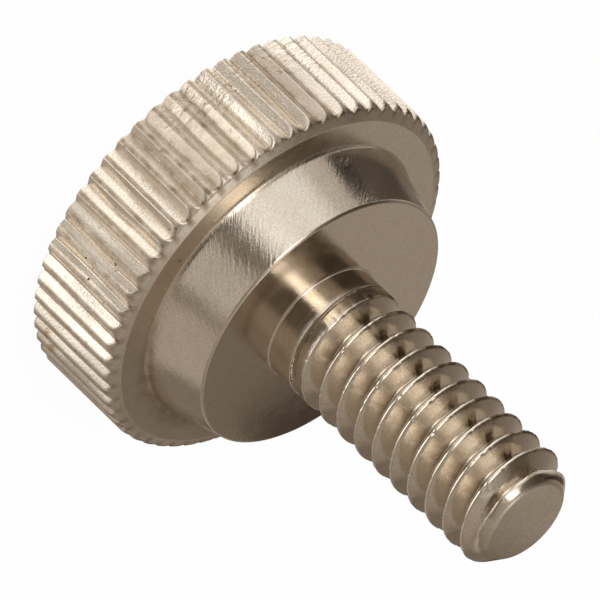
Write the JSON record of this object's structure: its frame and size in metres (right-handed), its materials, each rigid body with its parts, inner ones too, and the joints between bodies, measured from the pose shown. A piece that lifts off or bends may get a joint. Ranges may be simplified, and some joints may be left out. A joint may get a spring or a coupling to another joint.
{
  "type": "knurled thumb screw",
  "caption": "Thumb screw turned in one piece: a straight-knurled round head, a tapered collar with a flat bearing face, a plain neck and a threaded shank with a chamfered tip.",
  "frame": {"origin": "centre of the head's flat top, which the screw stands on", "axes": "+Z along the screw's axis from the head to the tip, +X through the root of one knurl groove"},
  "size_m": [0.0198, 0.0198, 0.0235],
  "materials": {
    "nickel": "satin nickel plate over turned metal"
  },
  "bodies": {
    "root": {"thumb_screw": "nickel"}
  },
  "joints": []
}
